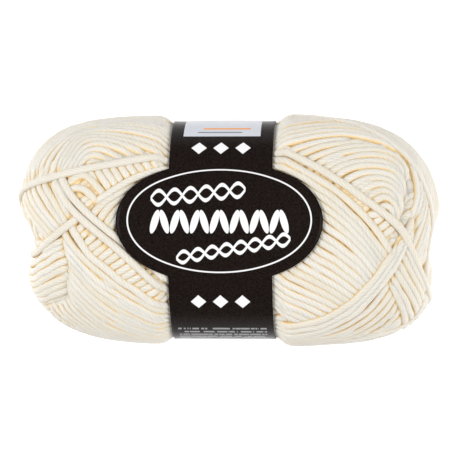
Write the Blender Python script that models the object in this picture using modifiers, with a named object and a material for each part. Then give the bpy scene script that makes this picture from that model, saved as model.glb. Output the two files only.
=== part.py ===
"""A centre-pull skein of cotton yarn lying on its side, held by a paper band that flares into an oval.

X runs along the skein, +Y is its upper side seen from above, +Z is up. Metres.
"""

import math

import bpy
import numpy as np
from mathutils import Matrix

# The skein.
LENGTH = 0.1158
HALF_WIDTH = 0.0313
HALF_DEPTH = 0.0262
END_SQUARENESS = 4.8
SHOULDER_SQUARENESS = 2.5
SECTION_SQUARENESS = 2.15
FLAT_SPOT_DEPTH = 0.0008
END_DRIFT = 0.0019
END_DRIFT_POWER = 3.0
HOLLOW_DEPTH = 0.0055
HOLLOW_HALF_WIDTH = 0.0085
HOLLOW_HALF_HEIGHT = 0.0135
HOLLOW_Y = -0.0020

# The paper band. Its arc is measured round the skein from the middle of the upper face, + toward +Y.
PAPER = 0.0004
PAPER_GAP = 0.00035
BAND_WIDTH = 0.0277
BAND_X = -0.00115
BAND_INSET = 0.00145
WING_INSET = 0.00035
WING_STARTS = 0.0115
WING_ENDS = 0.0270
OVAL_HALF_LENGTH = 0.0275
OVAL_HALF_HEIGHT = 0.0168
OVAL_ARC = 0.0022
OVAL_X = -0.0001
PRESSED_MARGIN = 0.0026
PRESSED_SLOPE = 0.0050

# How finely the surfaces are divided.
RINGS = 50
SPOKES = 76
OVAL_ROWS = 28
BACK_ROWS = 50
BAND_COLUMNS = 14
CURVE_STEPS = 2000

# The main twists: each ridge is a swath of strands, from one point to another on the skein. Turns are degrees
# round the skein from the middle of the upper face, + toward +Y.
SWATHS = [
    # x_from, turn_from, x_to, turn_to, half_width, height
    (-0.018, 34, -0.056, 20, 0.0022, 0.0009),
    (-0.016, 62, -0.047, 78, 0.0060, 0.0005),
    (-0.048, 30, -0.017, -38, 0.0022, 0.0010),
    (-0.044, -6, -0.018, -72, 0.0062, 0.0009),
    (-0.022, 20, -0.042, -2, 0.0040, 0.0007),
    (0.014, 46, 0.054, -24, 0.0024, 0.0010),
    (0.016, 12, 0.042, -52, 0.0070, 0.0009),
    (0.030, 66, 0.047, 20, 0.0050, 0.0007),
    (0.016, -70, 0.050, 18, 0.0026, 0.0008),
    (0.012, 95, 0.052, 62, 0.0050, 0.0006),
    (0.014, -98, 0.048, -66, 0.0050, 0.0005),
    (-0.014, -100, -0.050, -70, 0.0050, 0.0005),
    (-0.014, 104, -0.050, 132, 0.0052, 0.0007),
    (-0.050, 168, -0.014, 216, 0.0060, 0.0009),
    (0.014, 128, 0.050, 176, 0.0060, 0.0009),
    (0.050, 214, 0.014, 248, 0.0052, 0.0008),
]


def smooth_step(value, low, high):
    """0 below low, 1 above high and a soft rise between them."""
    share = np.clip((value - low) / (high - low), 0.0, 1.0)
    return share * share * (3.0 - 2.0 * share)


def meridian(rings):
    """The skein's outline from end to end: x and the share of full girth, evenly spaced along the outline."""
    angle = np.linspace(math.pi, 0.0, CURVE_STEPS)
    x = 0.5 * LENGTH * np.sign(np.cos(angle)) * np.abs(np.cos(angle)) ** (2.0 / END_SQUARENESS)
    girth = np.abs(np.sin(angle)) ** (2.0 / SHOULDER_SQUARENESS)
    mean_radius = 0.5 * (HALF_WIDTH + HALF_DEPTH)
    along = np.concatenate([[0.0], np.cumsum(np.hypot(np.diff(x), mean_radius * np.diff(girth)))])
    wanted = np.linspace(0.0, along[-1], rings + 1)
    return np.interp(wanted, along, x), np.interp(wanted, along, girth)


def roundness(turn):
    """How far a section's edge stands out from its ellipse at this turn, as a factor."""
    across = np.abs(np.sin(turn)) ** SECTION_SQUARENESS
    upright = np.abs(np.cos(turn)) ** SECTION_SQUARENESS
    return (across + upright) ** (-1.0 / SECTION_SQUARENESS)


def section(turn, half_width, half_depth):
    """A point of the skein's section at this turn: y and the height over the skein's axis."""
    out = roundness(turn)
    return half_width * out * np.sin(turn), half_depth * out * np.cos(turn)


def band_turns_to_arc():
    """The band's turn angles, and the arc that each lies at, from -half a round to +half a round."""
    turn = np.linspace(-math.pi, math.pi, CURVE_STEPS + 1)
    y, z = section(turn, HALF_WIDTH - BAND_INSET, HALF_DEPTH - BAND_INSET)
    arc = np.concatenate([[0.0], np.cumsum(np.hypot(np.diff(y), np.diff(z)))])
    return turn, arc - np.interp(0.0, turn, arc)


BAND_TURN, BAND_ARC = band_turns_to_arc()


def band_edges(arc, margin=0.0):
    """The x of the paper's left and right edges where it lies at this arc, moved out by a margin."""
    share = np.sqrt(np.clip(1.0 - ((arc - OVAL_ARC) / (OVAL_HALF_HEIGHT + margin)) ** 2, 0.0, 1.0))
    wing = (OVAL_HALF_LENGTH + margin) * share
    left = np.minimum(-0.5 * BAND_WIDTH - margin, OVAL_X - wing)
    right = np.maximum(0.5 * BAND_WIDTH + margin, OVAL_X + wing)
    return BAND_X + left, BAND_X + right


def paper_inset(x):
    """How far the paper's middle lies inside the skein's full girth: least at the oval's wings."""
    lift = smooth_step(np.abs(x - BAND_X), WING_STARTS, WING_ENDS)
    return BAND_INSET + (WING_INSET - BAND_INSET) * lift


def twist_height(x, turn):
    """How high the swaths stand at this point."""
    height = np.zeros_like(x)
    girth = 0.5 * (HALF_WIDTH + HALF_DEPTH)
    for x_from, turn_from, x_to, turn_to, half_width, rise in SWATHS:
        middle_turn = math.radians(0.5 * (turn_from + turn_to))
        nearest_turn = middle_turn + (turn - middle_turn + math.pi) % (2.0 * math.pi) - math.pi
        start = np.array([x_from, girth * math.radians(turn_from)])
        run = np.array([x_to, girth * math.radians(turn_to)]) - start
        away_x = x - start[0]
        away_arc = girth * nearest_turn - start[1]
        share = np.clip((away_x * run[0] + away_arc * run[1]) / run.dot(run), 0.0, 1.0)
        away = np.hypot(away_x - share * run[0], away_arc - share * run[1])
        height = np.maximum(height, rise * np.exp(-((away / half_width) ** 2)))
    return height


def wound_point(x, girth, turn):
    """The skein's surface: its wound form, twists, end hollows, the pressed waist and the flat spot."""
    y, z = section(turn, HALF_WIDTH * girth, HALF_DEPTH * girth)
    arc = np.interp(turn, BAND_TURN, BAND_ARC)
    left, right = band_edges(arc, PRESSED_MARGIN)
    outside = np.maximum(np.maximum(left - x, x - right), 0.0)
    pressed = 1.0 - smooth_step(outside, 0.0, PRESSED_SLOPE)

    inset = paper_inset(x) + 0.5 * PAPER + PAPER_GAP
    pressed_y, pressed_z = section(turn, HALF_WIDTH - inset, HALF_DEPTH - inset)
    rise = twist_height(x, turn) * (1.0 - pressed) * smooth_step(girth, 0.1, 0.6)
    y = (1.0 - pressed) * y + pressed * pressed_y + rise * np.sin(turn)
    z = (1.0 - pressed) * z + pressed * pressed_z + rise * np.cos(turn)

    end = np.clip(np.abs(x) / (0.5 * LENGTH), 0.0, 1.0)
    y = y - END_DRIFT * np.sign(x) * end**END_DRIFT_POWER
    off_hole = np.hypot((y - HOLLOW_Y) / HOLLOW_HALF_WIDTH, z / HOLLOW_HALF_HEIGHT)
    dip = HOLLOW_DEPTH * (1.0 - smooth_step(off_hole, 0.0, 1.0)) * smooth_step(end, 0.85, 0.98)
    x = x - np.sign(x) * dip

    axis_height = HALF_DEPTH - FLAT_SPOT_DEPTH
    return x, y, np.maximum(z + axis_height, 0.0)


def plain_material(name, colour, roughness):
    """A Principled material of one colour."""
    material = bpy.data.materials.new(name)
    material.use_nodes = True
    shader = material.node_tree.nodes["Principled BSDF"]
    shader.inputs["Base Color"].default_value = (*colour, 1.0)
    shader.inputs["Roughness"].default_value = roughness
    shader.inputs["Metallic"].default_value = 0.0
    return material


def make_yarn(collection):
    """A ball, its poles turned to the skein's ends, drawn out to the wound form."""
    bpy.ops.mesh.primitive_uv_sphere_add(segments=SPOKES, ring_count=RINGS, radius=1.0)
    skein = bpy.context.object
    skein.name = "yarn"
    mesh = skein.data
    mesh.transform(Matrix.Rotation(math.radians(90.0), 4, "Y"))

    ball = np.empty(len(mesh.vertices) * 3)
    mesh.vertices.foreach_get("co", ball)
    ball = ball.reshape(-1, 3)
    ring = np.arccos(np.clip(-ball[:, 0], -1.0, 1.0)) / math.pi
    turn = np.arctan2(ball[:, 1], ball[:, 2])
    outline_x, outline_girth = meridian(RINGS)
    rings = np.linspace(0.0, 1.0, RINGS + 1)
    x, y, z = wound_point(np.interp(ring, rings, outline_x), np.interp(ring, rings, outline_girth), turn)
    mesh.vertices.foreach_set("co", np.stack([x, y, z], axis=1).ravel())
    mesh.update()
    mesh.shade_smooth()

    mesh.materials.append(plain_material("cotton_yarn", (0.90, 0.85, 0.74), 0.9))
    move_to(collection, skein)


def make_label(collection):
    """The paper, lofted across the band row by row, given its thickness."""
    low = OVAL_ARC - OVAL_HALF_HEIGHT
    high = OVAL_ARC + OVAL_HALF_HEIGHT
    around = BAND_ARC[-1] - BAND_ARC[0]
    oval_rows = np.linspace(low, high, OVAL_ROWS, endpoint=False)
    back_rows = np.linspace(high, low + around, BACK_ROWS, endpoint=False)
    arcs = np.concatenate([oval_rows, back_rows])
    arcs = (arcs - BAND_ARC[0]) % around + BAND_ARC[0]
    turns = np.interp(arcs, BAND_ARC, BAND_TURN)

    axis_height = HALF_DEPTH - FLAT_SPOT_DEPTH
    points = []
    for arc, turn in zip(arcs, turns):
        left, right = band_edges(arc)
        for x in np.linspace(left, right, BAND_COLUMNS + 1):
            inset = paper_inset(x)
            y, z = section(turn, HALF_WIDTH - inset, HALF_DEPTH - inset)
            points.append((float(x), float(y), float(z) + axis_height))

    rows = len(arcs)
    columns = BAND_COLUMNS + 1
    faces = []
    for row in range(rows):
        next_row = (row + 1) % rows
        for column in range(BAND_COLUMNS):
            near = row * columns + column
            far = next_row * columns + column
            faces.append((near, near + 1, far + 1, far))

    mesh = bpy.data.meshes.new("label")
    mesh.from_pydata(points, [], faces)
    mesh.update()
    mesh.shade_smooth()
    band = bpy.data.objects.new("label", mesh)
    mesh.materials.append(plain_material("black_satin_paper", (0.018, 0.014, 0.013), 0.45))
    collection.objects.link(band)

    thickness = band.modifiers.new("paper", "SOLIDIFY")
    thickness.thickness = PAPER
    thickness.offset = 0.0
    thickness.use_even_offset = True


def move_to(collection, item):
    """Takes the object out of the scene's own collections and into this one."""
    for holder in list(item.users_collection):
        holder.objects.unlink(item)
    collection.objects.link(item)


def main():
    for item in list(bpy.data.objects):
        bpy.data.objects.remove(item, do_unlink=True)
    collection = bpy.data.collections.new("yarn_skein")
    bpy.context.scene.collection.children.link(collection)
    make_yarn(collection)
    make_label(collection)


main()
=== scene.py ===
"""A centre-pull skein of cotton yarn, strand by strand, in its printed paper band."""

import math

import bpy
import numpy as np
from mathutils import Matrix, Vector


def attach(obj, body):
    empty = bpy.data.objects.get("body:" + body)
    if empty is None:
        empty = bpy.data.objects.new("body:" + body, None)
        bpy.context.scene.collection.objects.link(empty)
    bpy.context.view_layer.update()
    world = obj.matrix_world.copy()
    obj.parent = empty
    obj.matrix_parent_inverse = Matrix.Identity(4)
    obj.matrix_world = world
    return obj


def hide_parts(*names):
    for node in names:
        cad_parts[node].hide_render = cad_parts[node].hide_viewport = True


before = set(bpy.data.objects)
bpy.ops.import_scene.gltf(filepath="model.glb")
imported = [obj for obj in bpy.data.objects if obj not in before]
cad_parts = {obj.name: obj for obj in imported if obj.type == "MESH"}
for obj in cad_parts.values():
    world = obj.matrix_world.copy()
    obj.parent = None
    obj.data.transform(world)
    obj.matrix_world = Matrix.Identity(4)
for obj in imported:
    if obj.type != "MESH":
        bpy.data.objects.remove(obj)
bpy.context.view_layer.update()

bl_info = {
    "name": "Yarn Skein",
    "version": (1, 0, 0),
    "blender": (4, 5, 0),
    "location": "View3D > Sidebar > Yarn Skein",
    "description": "A wound skein of cotton yarn in a paper band, with its studio",
    "category": "Object",
}

MM = 0.001
TURN = 2.0 * math.pi
CURVE_STEPS = 4000

# The wound form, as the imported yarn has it. Metres, here and below.
HALF_LENGTH = 0.0579
HALF_WIDTH = 0.0313
HALF_DEPTH = 0.0262
MEAN_RADIUS = 0.5 * (HALF_WIDTH + HALF_DEPTH)
AXIS_HEIGHT = 0.0254
END_SQUARENESS = 4.8
SHOULDER_SQUARENESS = 2.5
SECTION_SQUARENESS = 2.15
END_DRIFT = 0.0019
END_DRIFT_POWER = 3.0
HOLLOW_DEPTH = 0.0055
HOLLOW_HALF_WIDTH = 0.0085
HOLLOW_HALF_HEIGHT = 0.0135
HOLLOW_Y = -0.0020

# Where the ends' hollows and grooves start and are full, as shares of the half length, and the grooves
# themselves: the end's side, y, half width and depth.
HOLLOW_SHARES = (0.85, 0.98)
GROOVE_SHARES = (0.72, 0.99)
GROOVES = [(-1.0, -0.0035, 0.0055, 0.0034), (1.0, -0.0085, 0.0062, 0.0023)]

# How far the inner turns sink at the centre-pull hole, and how far from the pole that starts and is full.
HOLE_DEPTH = 0.012
HOLE_STARTS = 0.009
HOLE_FULL = 0.004

# The paper band. Its arc is measured round the skein from the middle of the upper face, + toward +Y.
PAPER_GAP = 0.00035
BAND_WIDTH = 0.0277
BAND_X = -0.00115
BAND_INSET = 0.00145
WING_INSET = 0.00035
WING_STARTS = 0.0115
WING_ENDS = 0.0270
OVAL_HALF_LENGTH = 0.0275
OVAL_HALF_HEIGHT = 0.0168
OVAL_ARC = 0.0022
OVAL_X = -0.0001
PRESSED_FROM = -0.0042
PRESSED_TO = 0.0002
PRINT_SPAN = 0.2

# The winding's working grid and steps.
GRID_ALONG = 480
GRID_ROUND = 600
STEP = 0.0005
SLOPE_REACH = 0.0002
LEAST_RADIUS = 0.0005
END_FACE_X = 0.04
POLE_REACH = 0.0015
NOTHING_ABOVE = 0.01

# Where a strand's way ends: its x under the band, and its length past a guide line or for a whole round.
UNDER_BAND = 0.009
WAY_ENDS = 0.005
LONGEST_END = 0.16
LONGEST_ROUND = 0.30

# How strands lie. A level is how far a strand's middle is over that of a strand whose top is on the form.
JOINT_REACH = 8.0
CORE_DEPTH = 0.0026
CORE_CLEARANCE = 0.0004
LOWEST_CORE = 0.0005
DEEPEST = 0.0013
DEEPEST_SHADE = 0.00042
RAGGED_ENDS = 0.0014
TUCK_STARTS = 0.0010
TUCK_LENGTH = 0.0042
TUCK_DEPTH = 0.0024
FULLNESS = 0.00035
PAPER_CLEARANCE = 0.0004
SHOWS_WITHIN = 0.0001
SHOWS_UNDER_PAPER = 0.0035
UNDER_FROM = -0.0035
UNDER_TO = 0.0005
SHORTEST_STRETCH = 6
GROUND_CLEARANCE = 0.00005
POLE_RADIUS = 0.002
WANDER = 0.00006
WANDER_WAVES = (0.009, 0.017, 0.031)
THICK_AND_THIN = 0.03
THICK_AND_THIN_WAVE = 0.0123

# A strand's section, and the share of its half height below which a flush strand's own sides take the painted
# crevice shade.
SQUARENESS = 2.35
STRAND_SIDES = 12
RING_EVERY = 2
SEAM_STARTS = 0.82
FLUSH_LEVEL = 0.0003
# The blur of the strands' top that the painted crevice shade is measured from, and the depth that gives a
# strand's end caps full painted shade.
CREST_BLUR = 0.0016
CAP_DEPTH = 0.002
STRAND_UV_SCALE = 10.0

# Listed swaths, from the lowest to the topmost. A swath's strands run between its guide lines, each of
# which is a few points in millimetres, seen from above: x along the skein, y toward its upper side. The ends
# that go on round the skein are named; the others are tucked down under what crosses them.
SWATHS = [
    # name, level in millimetres, ends that go on, guides
    ("left_shoulder", 0, "both", [
        [(-15, 29.9), (-24, 31.2), (-33.5, 30.8), (-44, 29.3), (-50, 25.3), (-54, 19), (-55.5, 14)],
        [(-15, 27.3), (-24, 28.8), (-33, 28.6), (-41, 27), (-47.5, 22.7), (-51, 17.8), (-53, 13.3)],
        [(-14, 23.2), (-22, 25.8), (-29, 27), (-36.5, 27), (-41.5, 24.8), (-45.2, 19.7), (-47, 14.8)],
        [(-13, 19.8), (-21, 23), (-28, 24.8), (-34, 25.5), (-38.8, 25.3), (-42, 21.5), (-44.7, 16)],
        [(-16, 17), (-24, 21.4), (-30.5, 23.9), (-35.5, 24.4), (-38.4, 23.6), (-40.8, 20.1), (-43, 16.4)],
        [(-20, 15), (-29, 19.8), (-34.4, 21.6), (-37.5, 20.8), (-40, 17), (-41.5, 13)],
        [(-24, 13.6), (-32.5, 18.4), (-36.2, 19), (-38.4, 16.8), (-39.6, 13)],
    ]),
    ("left_ladder", 0, "none", [
        [(-19.5, 19), (-17.5, 16.4)],
        [(-24.3, 18.4), (-21.2, 14.8)],
        [(-27.8, 17.7), (-24.3, 13)],
        [(-30.6, 17), (-27, 11.4)],
        [(-34, 16.2), (-29.6, 10.2)],
        [(-36.4, 15.6), (-31.6, 9)],
    ]),
    ("left_knuckles", 0.1, "none", [
        [(-41.9, 11.6), (-40.6, 14), (-37.9, 15.2), (-35.3, 13.3), (-31.6, 8.9)],
        [(-40.9, 9.8), (-39.5, 11.8), (-37.4, 11.4), (-34, 7.4)],
    ]),
    ("left_end_fan", 0, "none", [
        [(-56.4, 9.5), (-55, 5), (-52.2, 0.5), (-49.5, -2)],
        [(-55, 12), (-52.8, 7.3), (-49.3, 2.3), (-45.8, -0.3)],
        [(-51.5, 12.8), (-48.4, 7.7), (-45.2, 3.2), (-43, 0.4)],
        [(-48.3, 13.4), (-45, 8.4), (-42.6, 3.8), (-41, 1)],
        [(-45, 13.8), (-42.4, 9), (-39.6, 4)],
    ]),
    ("left_steps", 0, "first", [
        [(-54.8, -3.5), (-50, -3.6), (-45.5, -1.8)],
        [(-54, -8.4), (-47.8, -5.6), (-43.2, -3.7)],
        [(-54, -11.7), (-47, -8), (-42, -6.2)],
        [(-53.3, -14.4), (-46.2, -10.9), (-41.2, -9)],
        [(-52.3, -16.8), (-45.4, -13.8), (-40.4, -12.2)],
        [(-51, -19), (-44, -16.6), (-39.4, -15.6)],
        [(-49.7, -20.8), (-43, -19), (-39, -18.6)],
        [(-48.6, -22.6), (-42.5, -21.4), (-38.6, -21.2)],
    ]),
    ("left_rungs", 0, "none", [
        [(-39.4, -0.5), (-36, 2.6)],
        [(-36.8, -4.6), (-32, -0.6)],
        [(-32.8, -8.6), (-27.4, -4.8)],
        [(-28.4, -12.6), (-22.6, -9.2)],
        [(-24.5, -15.8), (-18.2, -13)],
        [(-20.5, -18.8), (-14.6, -16.6)],
        [(-17.4, -21.2), (-12, -19.4)],
        [(-15, -23), (-11, -21.8)],
    ]),
    ("left_oval_fan", 0.1, "none", [
        [(-12.5, 18.4), (-23.4, 14.3), (-30, 10.2), (-36, 6.4)],
        [(-17.5, 15), (-26, 11.3), (-31.3, 7.4), (-35, 4)],
        [(-21.5, 12.8), (-28.2, 8.7), (-32.4, 4.6), (-34, 2.4)],
        [(-25.4, 9.4), (-29.5, 5.1), (-32, 1)],
        [(-27.4, 5.6), (-29.6, 1.8), (-30.6, -1)],
    ]),
    ("left_lower_swath", 0, "none", [
        [(-47.5, -22.5), (-44, -25.4), (-38.5, -28.6), (-29.7, -30.8), (-22, -31.3), (-13, -31.4)],
        [(-40.6, -20.5), (-36.8, -24.4), (-32, -28), (-24.2, -30), (-13, -31)],
        [(-40.6, -16.4), (-36.6, -20.8), (-31, -25.2), (-23.5, -28.4), (-13, -30.2)],
        [(-40.6, -12.4), (-36.4, -17.5), (-30.6, -22.2), (-23, -26.2), (-13, -29)],
        [(-41, -8.5), (-36.6, -14.2), (-30.4, -19.5), (-23, -24), (-13, -27.6)],
        [(-41.9, -5.4), (-37.4, -11), (-31.8, -16), (-24.3, -21), (-13, -26)],
        [(-43.2, -0.6), (-39.9, -5.3), (-34.8, -10.1), (-29.4, -14.6), (-21.6, -19.8), (-13, -24.6)],
    ]),
    ("left_lower_border", 0.32, "none", [
        [(-40, -0.8), (-37.4, -5), (-32.2, -9.6), (-26.5, -14.2), (-20.7, -18.6), (-12.5, -24)],
    ]),
    ("left_crossing_strand", 0.5, "first", [
        [(-54.6, -6), (-50.6, -4), (-44.5, -0.6), (-40.6, 2.1), (-37.5, 4.6)],
    ]),
    ("left_diagonal", 0.45, "none", [
        [(-45.4, 12.2), (-42, 7), (-36.8, 1.9), (-30.6, -3.2), (-25.3, -7.9), (-20, -12.8), (-12.5, -19.6)],
        [(-43.6, 13.4), (-40.4, 8.5), (-35.4, 3.6), (-29.3, -1.5), (-24, -6.2), (-18.6, -11.1), (-12, -17)],
    ]),
    ("left_top_strand", 0.7, "both", [
        [(-11, 20.4), (-22.5, 18.8), (-30.4, 17.5), (-38.4, 15.9), (-44.5, 14.6), (-50.5, 13), (-55.8, 11)],
    ]),
    ("right_outer_turns", 0, "first", [
        [(12, 29.6), (21, 31.1), (31, 31), (40.2, 28.8), (49.2, 23.3), (54.5, 15.9), (56.8, 8.6),
         (56.6, 0), (55.4, -8)],
        [(12, 27.5), (21, 29.5), (31, 29.7), (40, 27.3), (48.3, 22.2), (52.8, 15.7), (54.6, 9.3),
         (54.2, 1), (52.6, -7)],
        [(12, 24.8), (21.8, 27), (31.2, 27.8), (40.2, 25.8), (47.6, 21.6), (51.6, 15.6), (53, 9.6),
         (51.8, 2), (49.6, -4.4)],
        [(13, 22.4), (22.5, 24.8), (31, 25.8), (40.2, 24.4), (46.9, 21), (50.4, 15.7), (51.4, 10),
         (50, 3), (48, -2)],
    ]),
    ("right_shoulder", 0, "first", [
        [(15, 20.4), (24, 23.4), (32, 24.4), (39.6, 23), (45, 20.4), (48.4, 16.5)],
        [(22, 16.8), (28.5, 20), (36.6, 22), (42.6, 21.8), (46.6, 19.6), (48.8, 15.4), (49, 10.5)],
        [(24, 15.2), (30.5, 18.6), (38.2, 20.4), (43.8, 19.6), (47, 16.8), (48.4, 12), (48, 6)],
        [(26.5, 13.6), (32.6, 17.3), (38.8, 18.1), (44, 17.4), (47, 14.4), (48, 10), (47.5, 4.8),
         (46.6, 0.3)],
        [(31, 10.8), (37, 14), (42.4, 14.4), (45.8, 12.2), (47.3, 8.2), (47, 3.8), (46.3, 0.3)],
        [(35.4, 7.8), (40.1, 11), (43.8, 11), (46, 8.2), (46.6, 4.7), (46.2, 0.6)],
        [(39, 4.8), (42, 7.4), (44.2, 7.1), (45.6, 4.3), (45.8, 0.8)],
        [(41, 3.6), (42.8, 5), (44.2, 4.3), (45.2, 1.4)],
    ]),
    ("right_main_swath", 0.05, "none", [
        [(9, 22), (17, 18.1), (26.3, 12.7), (33.2, 7.6), (38.3, 2.6), (42, -2.5), (45.4, -8)],
        [(10, 19.4), (19, 14.8), (26.5, 10.1), (32.6, 4.8), (38.2, -1.2), (43.2, -8.4)],
        [(20, 12.4), (29.1, 6.1), (34.9, 0.5), (39.3, -5), (42.6, -9.8)],
        [(24, 6.6), (32.2, 0.3), (37.5, -5), (41.2, -10.2)],
        [(24, 0.2), (31.3, -4.6), (36.6, -9.2), (39.8, -13.6)],
        [(20, -5.2), (28.7, -10.2), (34, -13.8), (37, -16.8)],
        [(12, -10.2), (20.8, -14.2), (27.8, -17.8), (32.4, -20.6)],
        [(11, -15.4), (18.1, -18.4), (23.8, -20.6), (27.6, -22.8)],
        [(11, -21.2), (16.4, -23.5), (19.6, -24.8)],
    ]),
    ("right_low_weave", 0.1, "first", [
        [(25, -31), (36, -29), (43, -25.6), (47.5, -20), (49, -14)],
        [(18, -30.6), (31, -29), (39.6, -24.6), (45, -18.4), (47.4, -11)],
        [(12, -29.8), (24.6, -28.4), (33.2, -25), (39.6, -19.8), (44, -13.6), (46.8, -8.4)],
    ]),
    ("right_end_fan", 0.25, "last", [
        [(44.8, -15.1), (46.4, -18.6), (47.6, -22), (48.4, -26)],
        [(45.6, -12.6), (47.8, -16.4), (50, -20.7), (50.8, -24.5)],
        [(46, -9), (48.6, -13.4), (51, -18), (52.3, -22.2)],
        [(47, -6.3), (49.6, -10.7), (52, -15.6), (53.2, -20)],
        [(48.5, -4), (51.4, -8.6), (53.7, -13.7), (54.4, -18)],
    ]),
    ("right_crossing_band", 0.4, "none", [
        [(9, -26.9), (22.5, -24.9), (28.7, -22.6), (34, -19.1), (39.3, -13.8), (42.8, -9),
         (46.8, -3.9), (49.4, 0.6)],
        [(9, -29.4), (24, -27.4), (32.6, -23.4), (38.2, -18.4), (42.9, -12.8), (47.1, -6.6), (50, -2)],
    ]),
    ("right_bottom_strand", 0.3, "both", [
        [(12, -31.4), (21, -31.2), (31, -30.2), (40.2, -28.4), (46.6, -26.4), (50.3, -24.1), (52.6, -21)],
    ]),
    ("right_top_strand", 0.7, "both", [
        [(8, 24.2), (22.7, 17.5), (31.6, 12.1), (40.4, 5.8), (44.8, 2.2), (48.4, -1.8),
         (53.2, -9.6), (55, -16)],
    ]),
]

# Whole precessions of the winding below the listed swaths.
PRECESSIONS = [
    # name, slope where a strand leaves the band, in degrees, strands in a round, level in millimetres
    ("bed", 8, 84, -1.5),
    ("lower_rounds", 13, 62, 0),
    ("upper_rounds", 30, 76, 0),
]


def smooth_step(value, low, high):
    """0 below low, 1 above high and a soft rise between them."""
    share = np.clip((value - low) / (high - low), 0.0, 1.0)
    return share * share * (3.0 - 2.0 * share)


def running_sum(steps):
    """How far each point of a line lies along it, from its steps' lengths."""
    return np.concatenate([[0.0], np.cumsum(steps)])


def unit(vectors):
    """The vectors, each brought to length one."""
    return vectors / np.maximum(np.linalg.norm(vectors, axis=-1, keepdims=True), 1e-12)


def bell(offsets):
    """A bell curve's weights at these offsets, measured in its widths. They sum to one."""
    weights = np.exp(-0.5 * offsets**2)
    return weights / weights.sum()


def blurred(values, width):
    """A line of values, softened over this many samples, its ends held."""
    if len(values) < 3:
        return values
    reach = max(1, int(3 * width))
    held = np.concatenate([np.full(reach, values[0]), values, np.full(reach, values[-1])])
    return np.convolve(held, bell(np.arange(-reach, reach + 1) / width), mode="valid")


def linked(name, data, location=(0.0, 0.0, 0.0), rotation=(0.0, 0.0, 0.0)):
    """A new object with this data, in the scene's own collection."""
    item = bpy.data.objects.new(name, data)
    item.location = location
    item.rotation_euler = rotation
    bpy.context.scene.collection.objects.link(item)
    return item


def meshed(name, points, faces):
    """A new object at the origin with this mesh."""
    mesh = bpy.data.meshes.new(name)
    mesh.from_pydata(points, [], faces)
    return linked(name, mesh)


# ---------------------------------------------------------------- the wound form


def outline():
    """The skein's outline from its middle to an end: distance along it, x and share of full girth."""
    angle = np.linspace(math.pi / 2.0, 0.0, CURVE_STEPS)
    x = HALF_LENGTH * np.abs(np.cos(angle)) ** (2.0 / END_SQUARENESS)
    girth = np.abs(np.sin(angle)) ** (2.0 / SHOULDER_SQUARENESS)
    return running_sum(np.hypot(np.diff(x), MEAN_RADIUS * np.diff(girth))), x, girth


OUTLINE_ALONG, OUTLINE_X, OUTLINE_GIRTH = outline()
END_ALONG = OUTLINE_ALONG[-1]


def radius_at(along):
    """The skein's mean radius at this distance along its outline from the middle."""
    return MEAN_RADIUS * np.interp(np.abs(along), OUTLINE_ALONG, OUTLINE_GIRTH)


def roundness(turn):
    """How far a section's edge stands out from its ellipse at this turn, as a factor."""
    across = np.abs(np.sin(turn)) ** SECTION_SQUARENESS
    upright = np.abs(np.cos(turn)) ** SECTION_SQUARENESS
    return (across + upright) ** (-1.0 / SECTION_SQUARENESS)


def section(turn, half_width, half_depth):
    """A point of the skein's section at this turn: y and the height over the skein's axis."""
    out = roundness(turn)
    return half_width * out * np.sin(turn), half_depth * out * np.cos(turn)


def band_turns_to_arc():
    """The band's turn angles, and the arc that each lies at, from -half a round to +half a round."""
    turn = np.linspace(-math.pi, math.pi, CURVE_STEPS + 1)
    y, z = section(turn, HALF_WIDTH - BAND_INSET, HALF_DEPTH - BAND_INSET)
    arc = running_sum(np.hypot(np.diff(y), np.diff(z)))
    return turn, arc - np.interp(0.0, turn, arc)


BAND_TURN, BAND_ARC = band_turns_to_arc()
BAND_AROUND = float(BAND_ARC[-1] - BAND_ARC[0])


def band_edges(arc):
    """The x of the paper's left and right edges where it lies at this arc."""
    share = np.sqrt(np.clip(1.0 - ((arc - OVAL_ARC) / OVAL_HALF_HEIGHT) ** 2, 0.0, 1.0))
    wing = OVAL_HALF_LENGTH * share
    left = np.minimum(-0.5 * BAND_WIDTH, OVAL_X - wing)
    right = np.maximum(0.5 * BAND_WIDTH, OVAL_X + wing)
    return BAND_X + left, BAND_X + right


def paper_inset(x):
    """How far the paper's middle lies inside the skein's full girth: least at the oval's wings."""
    lift = smooth_step(np.abs(x - BAND_X), WING_STARTS, WING_ENDS)
    return BAND_INSET + (WING_INSET - BAND_INSET) * lift


def wound_point(along, turn):
    """The skein's smooth surface, with its waist, end hollows and grooves, and how far it is under paper."""
    x = np.sign(along) * np.interp(np.abs(along), OUTLINE_ALONG, OUTLINE_X)
    girth = np.interp(np.abs(along), OUTLINE_ALONG, OUTLINE_GIRTH)
    y, z = section(turn, HALF_WIDTH * girth, HALF_DEPTH * girth)
    arc = np.interp((turn + math.pi) % TURN - math.pi, BAND_TURN, BAND_ARC)
    left, right = band_edges(arc)
    inside = np.minimum(x - left, right - x)
    pressed = smooth_step(inside, PRESSED_FROM, PRESSED_TO)

    inset = paper_inset(x) + PAPER_GAP
    pressed_y, pressed_z = section(turn, HALF_WIDTH - inset, HALF_DEPTH - inset)
    y = (1.0 - pressed) * y + pressed * pressed_y
    z = (1.0 - pressed) * z + pressed * pressed_z

    end = np.clip(np.abs(x) / HALF_LENGTH, 0.0, 1.0)
    y = y - END_DRIFT * np.sign(x) * end**END_DRIFT_POWER
    off_hole = np.hypot((y - HOLLOW_Y) / HOLLOW_HALF_WIDTH, z / HOLLOW_HALF_HEIGHT)
    dip = HOLLOW_DEPTH * (1.0 - smooth_step(off_hole, 0.0, 1.0)) * smooth_step(end, *HOLLOW_SHARES)
    for side, groove_y, half_width, depth in GROOVES:
        groove = depth * np.exp(-0.5 * ((y - groove_y) / half_width) ** 2)
        dip = dip + np.where(x * side > 0.0, groove, 0.0) * smooth_step(end, *GROOVE_SHARES)
    x = x - np.sign(x) * dip
    return np.stack([x, y, z + AXIS_HEIGHT], axis=-1), inside


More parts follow.
